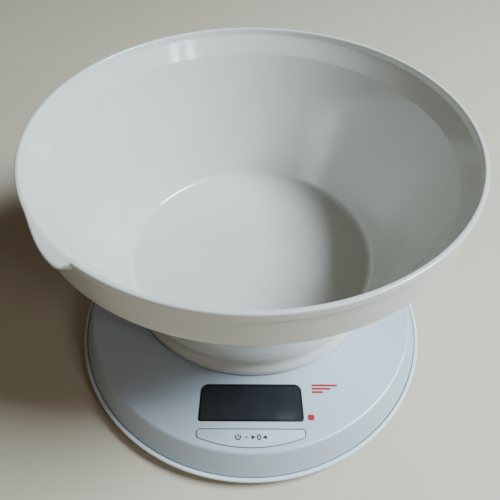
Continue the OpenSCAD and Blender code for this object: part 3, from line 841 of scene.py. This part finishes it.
@dataclass
class Base:
    """Both housing shells, the display window, the key and the printed marks."""

    shell_wall: float = 2.2
    side_lean: float = 5.8
    edge_z: float = 7.2
    edge_w: float = 1.85
    groove_w: float = 0.45
    seat_drop: float = 1.5
    lens_gap: float = 0.1
    ledge_w: float = 1.6
    key_gap: float = 0.48
    key_side_l: float = 3.7
    print_t: float = 0.03
    turns: int = 288
    shell: tuple = field(default_factory=lambda: tuple(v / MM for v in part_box("lower_housing")))
    cover: tuple = field(default_factory=lambda: tuple(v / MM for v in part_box("upper_housing")))
    lens: tuple = field(default_factory=lambda: tuple(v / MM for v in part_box("display_window")))
    key: tuple = field(default_factory=lambda: tuple(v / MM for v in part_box("tare_key")))

    @property
    def outer_r(self) -> float:
        """Outer radius of the bottom shell's edge."""
        return (self.shell[1].x - self.shell[0].x) / 2

    @property
    def centre(self) -> Point:
        """Where the base's axis stands."""
        return (0.0, (self.shell[1].y + self.shell[0].y) / 2)

    @property
    def top_z(self) -> float:
        """Height of the flat top, which the drip lip stands above."""
        return self.lens[1].z + 0.12

    @property
    def skirt_r(self) -> float:
        """Outer radius of the cover's lower edge."""
        return self.outer_r - self.edge_w - self.groove_w

    @property
    def top_r(self) -> float:
        """Radius of the flat top."""
        return self.skirt_r - self.side_lean

    def window_outline(self, grow: float) -> list[Point]:
        """Draws the window's outline, moved outwards by grow."""
        low, high = self.lens
        half = (high.x - low.x) / 2 + grow
        back = half - 0.55
        return rounded([
            (-half, low.y - grow, 1.5 + max(grow, -1)),
            (half, low.y - grow, 1.5 + max(grow, -1)),
            (back, high.y + grow, 3.8 + grow),
            (-back, high.y + grow, 3.8 + grow),
        ], steps=8)

    def key_outline(self, grow: float) -> list[Point]:
        """Draws the key's outline, moved outwards by grow."""
        tip = self.centre[1] - self.top_r + 3.1
        width, length = 52.8, 8.8
        half, rise = width / 2 + grow, length - self.key_side_l
        radius = (width * width / 4 + rise * rise) / (2 * rise)

        def arc_y(x: float) -> float:
            """Height of the front arc."""
            return tip + radius - math.sqrt((radius + grow) ** 2 - x * x)

        steps = 14
        front = [(half * i / steps, arc_y(half * i / steps), 0) for i in range(1 - steps, steps)]
        soft = max(grow, -1)
        return rounded([
            *front,
            (half, arc_y(half), 1.6 + soft),
            (half, tip + length + grow, 1.2 + soft),
            (-half, tip + length + grow, 1.2 + soft),
            (-half, arc_y(half), 1.6 + soft),
        ], steps=6)

    def side_r(self, z: float) -> float:
        """Radius of the cover's sloping side at a height."""
        return self.skirt_r - (z - self.edge_z) * self.side_lean / (self.top_z - self.edge_z)

    def _cutter(self, points: Sequence[Point], low: float, high: float) -> bpy.types.Object:
        """Makes a closed cutting shape from an outline."""
        bm = bmesh.new()
        raise_outline(bm, points, low, high)
        tidy_mesh(bm)
        return to_object(bm, "cutter")

    def _box_outline(self, low: Sequence[float], high: Sequence[float], radius: float) -> list[Point]:
        """Draws a rectangle with round corners."""
        corners = [(low[0], low[1]), (high[0], low[1]), (high[0], high[1]), (low[0], high[1])]
        return rounded([(x, y, radius) for x, y in corners], steps=5)

    def build_cover(self) -> bpy.types.Object:
        """Makes the upper housing with its window recess, key slot and load opening."""
        under_z, seat_z = self.top_z - self.shell_wall, self.edge_z - self.seat_drop
        outline = rounded([
            (0, self.top_z, 0),
            (self.top_r, self.top_z, 1.8),
            (self.skirt_r, self.edge_z, 1),
            (self.skirt_r, seat_z, 0),
            (self.skirt_r - self.shell_wall, seat_z, 0),
            (self.skirt_r - self.shell_wall, self.edge_z, 1),
            (self.side_r(under_z) - self.shell_wall, under_z, 0.2),
            (0, under_z, 0),
        ], steps=8)
        bm = bmesh.new()
        spin_outline(bm, outline, self.centre, self.turns)
        tidy_mesh(bm)
        piece = to_object(bm, "upper_cover", sharp=32)
        spacer_low, spacer_high = (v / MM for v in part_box("top_spacer"))
        gap = Vector((2, 2))
        hole = self._box_outline(spacer_low.xy - gap, spacer_high.xy + gap, 1.5)
        lens_z = self.lens[0].z
        carve(piece, [
            self._cutter(self.window_outline(self.lens_gap), lens_z - 0.2, self.top_z + 2),
            self._cutter(self.window_outline(-self.ledge_w), under_z - 2, self.top_z + 3),
            self._cutter(self.key_outline(self.key_gap), under_z - 3, self.top_z + 3),
            self._cutter(hole, under_z - 4, self.top_z + 4),
        ])
        self._add_bosses(piece, under_z, hole)
        round_edges(piece, 0.18)
        SILVER_PAINT.dress(piece)
        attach(piece, "base")
        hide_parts("upper_housing")
        return piece

    def _add_bosses(self, piece: bpy.types.Object, under_z: float, hole: Sequence[Point]) -> None:
        """Adds the screw bosses under the cover and the drip lip round the load opening."""
        bm = bmesh.new()
        for node, radius in (("housing_screws", 3.6), ("board_screws", 2.1)):
            low, high = (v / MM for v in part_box(node))
            head_r = 2.8 if node == "housing_screws" else 1.9
            for x in (low.x + head_r, high.x - head_r):
                for y in (low.y + head_r, high.y - head_r):
                    foot_z = self.shell[0].z + 6.5 if node == "housing_screws" else under_z - 6.2
                    add_disc(bm, (x, y, foot_z), radius, under_z - foot_z - 0.02)
        lip = bmesh.new()
        mid_x, mid_y = (sum(point[axis] for point in hole) / len(hole) for axis in (0, 1))
        outer = [(x + math.copysign(1.2, x - mid_x), y + math.copysign(1.2, y - mid_y)) for x, y in hole]
        raise_outline(lip, outer, self.top_z + 0.01, self.top_z + 0.8)
        tidy_mesh(lip)
        rim = to_object(lip, "drip_lip")
        carve(rim, [self._cutter(hole, self.top_z - 1, self.top_z + 3)])
        bmesh.ops.scale(bm, vec=(MM, MM, MM), verts=bm.verts)
        bm.from_mesh(rim.data)
        bm.from_mesh(piece.data)
        sharp = piece.data
        bm.to_mesh(sharp)
        bm.free()
        data = rim.data
        bpy.data.objects.remove(rim)
        bpy.data.meshes.remove(data)
        for face in sharp.polygons:
            face.use_smooth = True
        sharp.set_sharp_from_angle(angle=math.radians(32))

    def build_lens(self) -> bpy.types.Object:
        """Makes the tinted display window with softened upper edges."""
        low, high = self.lens
        bm = bmesh.new()
        raise_outline(bm, self.window_outline(0), low.z, high.z)
        tidy_mesh(bm)
        soften(bm, [e for e in bm.edges if min(v.co.z for v in e.verts) > high.z - 0.01
                    and len(e.link_faces) == 2 and e.calc_face_angle(0) > 1], 0.25)
        piece = to_object(bm, "window_lens", sharp=50)
        middle = ((low.x + high.x) / 2 * MM, (low.y + high.y) / 2 * MM)
        half = ((high.x - low.x) / 2 * MM - 0.0012, (high.y - low.y) / 2 * MM - 0.0011)
        WindowTint("window_tint", "window_plastic", (0.012, 0.013, 0.016), 0.13, coat=0.0,
                   grain_depth=0.000004, centre=middle, half=half).dress(piece)
        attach(piece, "base")
        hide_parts("display_window")
        return piece

    def build_key(self) -> bpy.types.Object:
        """Makes the key: a cap with softened edges on a wider flange."""
        low, high = self.key
        bm = bmesh.new()
        raise_outline(bm, self.key_outline(0), low.z, high.z)
        tidy_mesh(bm)
        soften(bm, [e for e in bm.edges if min(v.co.z for v in e.verts) > high.z - 0.01
                    and e.calc_face_angle(0) > 1], 0.22)
        cap = to_object(bm, "key_cap", sharp=50)
        carve(cap, [self._cutter(self.key_outline(-1.4), low.z - 1, self.top_z - 1.2)])
        KEY_PAINT.dress(cap)
        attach(cap, "key")
        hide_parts("tare_key")
        flange = bmesh.new()
        raise_outline(flange, self.key_outline(0.6), low.z, low.z + 1.1)
        tidy_mesh(flange)
        ring = to_object(flange, "key_flange")
        carve(ring, [self._cutter(self.key_outline(-1.0), low.z - 1, low.z + 3)])
        KEY_PAINT.dress(ring)
        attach(ring, "key")
        return cap

    def _print(self, name: str, body: str, shapes: Iterable[Callable], z: float,
               finish: Finish) -> bpy.types.Object:
        """Makes one printed mark out of flat shapes that all start at one height."""
        bm = bmesh.new()
        for shape in shapes:
            shape(bm, z)
        bmesh.ops.recalc_face_normals(bm, faces=bm.faces)
        piece = to_object(bm, name)
        finish.dress(piece)
        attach(piece, body)
        return piece

    def _pill(self, low: Point, high: Point, radius: float) -> Callable:
        """Gives a shape that draws a flat rounded bar."""
        def draw(bm: bmesh.types.BMesh, z: float) -> None:
            """Draws the bar."""
            raise_outline(bm, self._box_outline(low, high, radius), z, z + self.print_t)
        return draw

    def _ring(self, at: Point, radius: Point, width: float, start: float = 0,
              turn: float = 360) -> Callable:
        """Gives a shape that draws a flat ring or part of one, bridged between two loops and raised."""
        def draw(bm: bmesh.types.BMesh, z: float) -> None:
            """Draws the ring."""
            steps = 40
            closed = turn >= 360
            count = steps if closed else steps + 1
            angles = [math.radians(start + turn * i / steps) for i in range(count)]
            known = set(bm.verts)
            outer = [bm.verts.new((at[0] + radius[0] * math.cos(a), at[1] + radius[1] * math.sin(a), z))
                     for a in angles]
            inner = [bm.verts.new((at[0] + (radius[0] - width) * math.cos(a),
                                   at[1] + (radius[1] - width) * math.sin(a), z)) for a in angles]
            loops = [[bm.edges.new((loop[i - 1], loop[i])) for i in range(0 if closed else 1, count)]
                     for loop in (outer, inner)]
            flat = bmesh.ops.bridge_loops(bm, edges=loops[0] + loops[1])["faces"]
            lifted = bmesh.ops.extrude_face_region(bm, geom=flat)["geom"]
            top = [v for v in lifted if isinstance(v, bmesh.types.BMVert) and v not in known]
            bmesh.ops.translate(bm, verts=top, vec=(0, 0, self.print_t))
        return draw

    def _arrow(self, tip: Point, length: float, height: float) -> Callable:
        """Gives a shape that draws a flat arrow: a head at the tip and a thin shaft."""
        def draw(bm: bmesh.types.BMesh, z: float) -> None:
            """Draws the arrow."""
            way = 1 if length > 0 else -1
            head = height * 0.9 * way
            shaft = height * 0.15
            points = [
                tip, (tip[0] - head, tip[1] + height / 2), (tip[0] - head, tip[1] + shaft),
                (tip[0] - length, tip[1] + shaft), (tip[0] - length, tip[1] - shaft),
                (tip[0] - head, tip[1] - shaft), (tip[0] - head, tip[1] - height / 2),
            ]
            raise_outline(bm, points, z, z + self.print_t)
        return draw

    def build_marks(self) -> None:
        """Prints the red bars and the red square beside the window, and the signs on the key."""
        cy = self.centre[1]
        bar_x, bar_w = 31.2, 1.2
        ends = ((44.8, cy - 57.0), (41.2, cy - 58.9), (37.2, cy - 60.8))
        bars = [self._pill((bar_x, y), (x, y + bar_w), 0.59) for x, y in ends]
        self._print("red_bars", "base", bars, self.top_z, RED_INK)
        spot = self._pill((28.2, cy - 75.3), (31.6, cy - 72.3), 0.9)
        self._print("red_spot", "base", [spot], self.top_z, RED_INK)
        y = cy - 83.9
        key_z = self.key[1].z
        signs = [
            self._ring((-6.2, y), (1.5, 1.45), 0.6, 130, 280),
            self._pill((-6.5, y + 0.1), (-5.9, y + 1.65), 0.29),
            self._pill((-3.0, y - 0.28), (-1.3, y + 0.28), 0.27),
            self._arrow((2.4, y), 2.3, 2.2),
            self._ring((4.0, y), (1.1, 1.45), 0.6),
            self._arrow((5.6, y), -2.3, 2.2),
        ]
        self._print("key_signs", "key", signs, key_z, BLACK_INK)

    def build_shell(self) -> bpy.types.Object:
        """Makes the bottom shell from a merged copy of its frame node, with smooth curves."""
        return smooth_copy("lower_housing", "bottom_shell", "base", SHELL_PLASTIC)

    def build(self) -> None:
        """Builds the base's visible pieces."""
        self.build_cover()
        self.build_shell()
        self.build_lens()
        self.build_key()
        self.build_marks()


def smooth_copy(node: str, name: str, body: str, finish: Finish, sharp: float = 28.0,
                edge: float = 0.0) -> bpy.types.Object:
    """Replaces a frame node by a merged copy that is shaded smooth up to its real edges.

    Args:
        node: The frame node.
        name: The new piece's name.
        body: The body that it rides on.
        finish: Its finish.
        sharp: The angle in degrees past which an edge stays sharp.
        edge: The width of a bevel on the sharp edges, in millimetres.

    Returns:
        The new piece.
    """
    bm = bmesh.new()
    bm.from_mesh(frame["nodes"][node].data)
    bmesh.ops.scale(bm, vec=(1 / MM, 1 / MM, 1 / MM), verts=bm.verts)
    bmesh.ops.remove_doubles(bm, verts=bm.verts, dist=0.0015)
    piece = to_object(bm, name, sharp)
    if edge:
        round_edges(piece, edge)
    weigh = piece.modifiers.new("flat_faces", "WEIGHTED_NORMAL")
    weigh.keep_sharp = True
    finish.dress(piece)
    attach(piece, body)
    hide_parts(node)
    return piece


# ---------------------------------------------------------------- the weighing platform


@dataclass
class Platform:
    """The raised round platform with fine rings on its top."""

    wall: float = 2.5
    ring_count: int = 5
    turns: int = 192

    def build(self) -> bpy.types.Object:
        """Spins the cap with its turned rings and adds the ribs underneath."""
        low, high = (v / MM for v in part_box("weighing_platform"))
        radius = (high.x - low.x) / 2
        centre = ((low.x + high.x) / 2, (low.y + high.y) / 2)
        skirt_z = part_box("bowl")[0].z / MM + 0.3
        top, plate = high.z, high.z - self.wall
        grooves: list[tuple[float, float, float]] = []
        for i in range(self.ring_count):
            r = radius * (0.2 + 0.16 * i)
            grooves += [(r - 0.5, top, 0.2), (r, top - 0.3, 0.2), (r + 0.5, top, 0.2)]
        outline = rounded([
            (0, top, 0),
            *grooves,
            (radius, top, 1.5),
            (radius, skirt_z, 0.6),
            (radius - 2, skirt_z, 0.6),
            (radius - 2, plate, 1),
            (0, plate, 0),
        ], steps=6)
        bm = bmesh.new()
        spin_outline(bm, outline, centre, self.turns)
        tidy_mesh(bm)
        carrier_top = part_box("platform_carrier")[1].z / MM
        for i in range(8):
            verts = add_block(bm, (24.8, -0.8, carrier_top + 0.3), (radius - 1.5, 0.8, plate - 0.01))
            turn = Matrix.Rotation(math.tau * i / 8, 3, "Z")
            bmesh.ops.rotate(bm, verts=verts, cent=(0, 0, 0), matrix=turn)
            bmesh.ops.translate(bm, verts=verts, vec=(*centre, 0))
        for i in range(4):
            angle = math.tau * (i + 0.5) / 4
            at = (centre[0] + 40 * math.cos(angle), centre[1] + 40 * math.sin(angle), carrier_top)
            add_disc(bm, at, 4, plate - carrier_top - 0.01)
        piece = to_object(bm, "platform_cap", sharp=40)
        SILVER_PAINT.dress(piece)
        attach(piece, "platform")
        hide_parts("weighing_platform")
        return piece


# ---------------------------------------------------------------- everything inside and underneath


@dataclass
class Workings:
    """The load cell, the electronics, the battery bay, the screws and the feet."""

    smooth: tuple = (
        ("rubber_feet", "soft_feet", "base", FOOT_RUBBER),
        ("battery_door", "bay_door", "door", SHELL_PLASTIC),
        ("platform_carrier", "carrier_plate", "platform", CAST_ALUMINIUM),
        ("load_cell", "cell_beam", "base", ALUMINIUM),
        ("batteries", "round_cells", "base", CELL_SLEEVE),
        ("processor_blob", "potted_chip", "base", EPOXY),
    )
    plain: tuple = (
        (ZINC, ("platform_screws", "carrier_screws", "top_spacer", "base_spacer", "load_cell_screws",
                "overload_stop", "housing_screws", "board_screws")),
        (NICKEL, ("crystal", "switch_terminals", "battery_contacts", "bridge_contact")),
        (GAUGE_FOIL, ("strain_gauges",)),
        (SILICONE, ("gauge_coating",)),
        (LABEL_FILM, ("rating_label",)),
        (BLACK_TAPE, ("window_tape",)),
        (LCD_GLASS, ("lcd_glass",)),
        (WHITE_PLASTIC, ("lcd_frame", "wire_socket")),
        (CONTACT_STRIP, ("contact_strips",)),
        (BOARD, ("circuit_board",)),
        (CAPACITOR, ("capacitors",)),
        (BLACK_PLASTIC, ("tact_switch", "switch_plunger")),
        (KEY_PAINT, ("key_post",)),
    )

    def build(self) -> None:
        """Dresses every frame node that stays and smooths the ones with curves."""
        for node, name, body, finish in self.smooth:
            smooth_copy(node, name, body, finish, edge=0.12 if node == "battery_door" else 0.0)
        for finish, names in self.plain:
            finish.dress(*(frame["nodes"][name] for name in names))
        self._dress_wires()

    def _dress_wires(self) -> None:
        """Gives each wire its colour by its place across the bundle."""
        black, red = (0.015, 0.015, 0.015), (0.45, 0.02, 0.02)
        lead_low, lead_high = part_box("battery_leads")
        leads = WireColours("lead_colours", "wire_insulation", red, 0.4, stops=((0.0, black), (0.45, red)),
                            low=lead_low.x, high=lead_high.x)
        leads.dress(frame["nodes"]["battery_leads"])
        low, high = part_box("load_cell_wires")
        colours = ((0.0, red), (0.25, black), (0.5, (0.75, 0.75, 0.72)), (0.75, (0.05, 0.3, 0.1)))
        bundle = WireColours("cell_wire_colours", "wire_insulation", red, 0.4, stops=colours,
                             low=low.x, high=high.x)
        bundle.dress(frame["nodes"]["load_cell_wires"])


# ---------------------------------------------------------------- studio


@dataclass
class Studio:
    """The pale floor, the soft window light and the camera."""

    camera_at: tuple[float, float, float] = (-0.0008, -0.1986, 0.2653)
    camera_tilt: float = 42.58
    camera_roll: float = 0.25
    focal: float = 37.0
    floor_half: float = 3.0

    def build_floor(self) -> None:
        """Lays the plain pale floor."""
        bm = bmesh.new()
        bmesh.ops.create_grid(bm, x_segments=4, y_segments=4, size=self.floor_half / MM)
        floor = to_object(bm, "studio_floor")
        finish = Finish("pale_floor", "", (0.50, 0.415, 0.315), 0.6, grain_scale=400, unevenness=0.02,
                        patch_scale=4, grain_depth=0.00001)
        floor.data.materials.append(finish.build())

    def add_light(self, name: str, at: Sequence[float], towards: Sequence[float], size: Point,
                  power: float, colour: Colour) -> None:
        """Hangs a soft rectangular light.

        Args:
            name: The light's name.
            at: Where it hangs.
            towards: The point that it faces.
            size: Its width and height.
            power: Its power in watts.
            colour: Its colour.
        """
        data = bpy.data.lights.new(name, "AREA")
        data.shape = "RECTANGLE"
        data.size, data.size_y = size
        data.energy = power
        data.color = colour
        light = bpy.data.objects.new(name, data)
        light.location = at
        light.rotation_euler = (Vector(towards) - Vector(at)).to_track_quat("-Z", "Y").to_euler()
        bpy.context.scene.collection.objects.link(light)

    def build_light(self) -> None:
        """Sets the sky's soft glow and the two window panes on the right."""
        world = bpy.data.worlds.new("soft_room")
        bpy.context.scene.world = world
        world.use_nodes = True
        back = world.node_tree.nodes["Background"]
        back.inputs["Color"].default_value = (1.0, 0.87, 0.70, 1.0)
        back.inputs["Strength"].default_value = 0.11
        aim = (0.0, 0.0, 0.08)
        cool, pale = (0.70, 0.89, 1.0), (0.93, 0.97, 1.0)
        self.add_light("window_high", (0.81, -0.07, 0.94), aim, (0.50, 0.30), 42.0, cool)
        self.add_light("pane_left", (0.70, -0.86, 0.78), aim, (0.075, 0.21), 1.6, pale)
        self.add_light("pane_right", (0.83, -0.73, 0.78), aim, (0.075, 0.21), 1.6, pale)

    def build_camera(self) -> None:
        """Sets the camera above the front, looking down into the bowl."""
        data = bpy.data.cameras.new("front_view")
        data.sensor_width = 36.0
        data.lens = self.focal
        data.clip_start = 0.01
        camera = bpy.data.objects.new("front_view", data)
        camera.location = self.camera_at
        tilt = Matrix.Rotation(math.radians(self.camera_tilt), 3, "X")
        roll = Matrix.Rotation(math.radians(self.camera_roll), 3, "Z")
        camera.rotation_euler = (tilt @ roll).to_euler()
        bpy.context.scene.collection.objects.link(camera)
        bpy.context.scene.camera = camera

    def build(self) -> None:
        """Builds the whole setting."""
        self.build_camera()
        self.build_floor()
        self.build_light()


def main() -> None:
    """Builds the setting and every sub-assembly, logging each one's name and each piece's face count."""
    logging.basicConfig(level=logging.INFO, format="%(name)s: %(message)s")
    for part in (Studio(), MixingBowl(), Base(), Platform(), Workings()):
        LOG.info("building %s", type(part).__name__)
        part.build()


if __name__ == "__main__":
    main()
